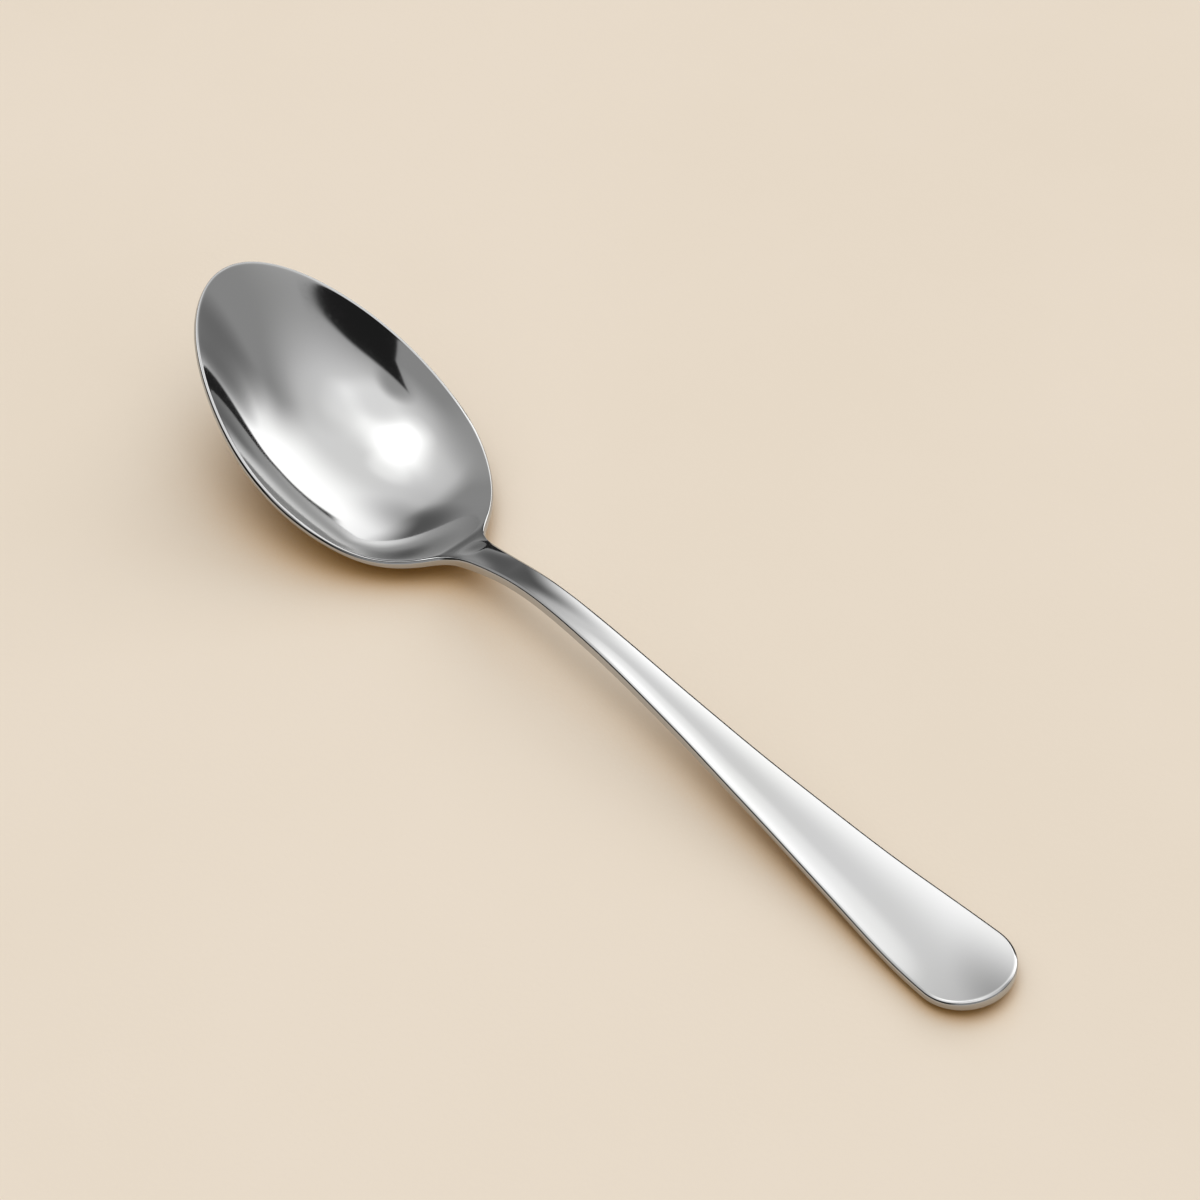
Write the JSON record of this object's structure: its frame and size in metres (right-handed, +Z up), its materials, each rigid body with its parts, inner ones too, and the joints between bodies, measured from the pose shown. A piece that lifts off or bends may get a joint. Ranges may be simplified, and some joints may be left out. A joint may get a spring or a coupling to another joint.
{
  "type": "teaspoon",
  "caption": "Polished stainless steel teaspoon, 140 mm long, with an egg-shaped bowl and a slim handle that widens to a plain round end.",
  "frame": {"origin": "On the table under the middle of the spoon's box: half way along its length, on its mirror plane, at the height of its lowest point.", "axes": "+X runs from the tip of the bowl to the end of the handle, +Y goes across the spoon, +Z is up out of the open bowl. The spoon is mirror-symmetric about Y = 0."},
  "size_m": [0.14, 0.03, 0.0196],
  "materials": {
    "polished_steel": "polished"
  },
  "bodies": {
    "root": {"bowl": "polished_steel", "handle": "polished_steel"}
  },
  "joints": []
}
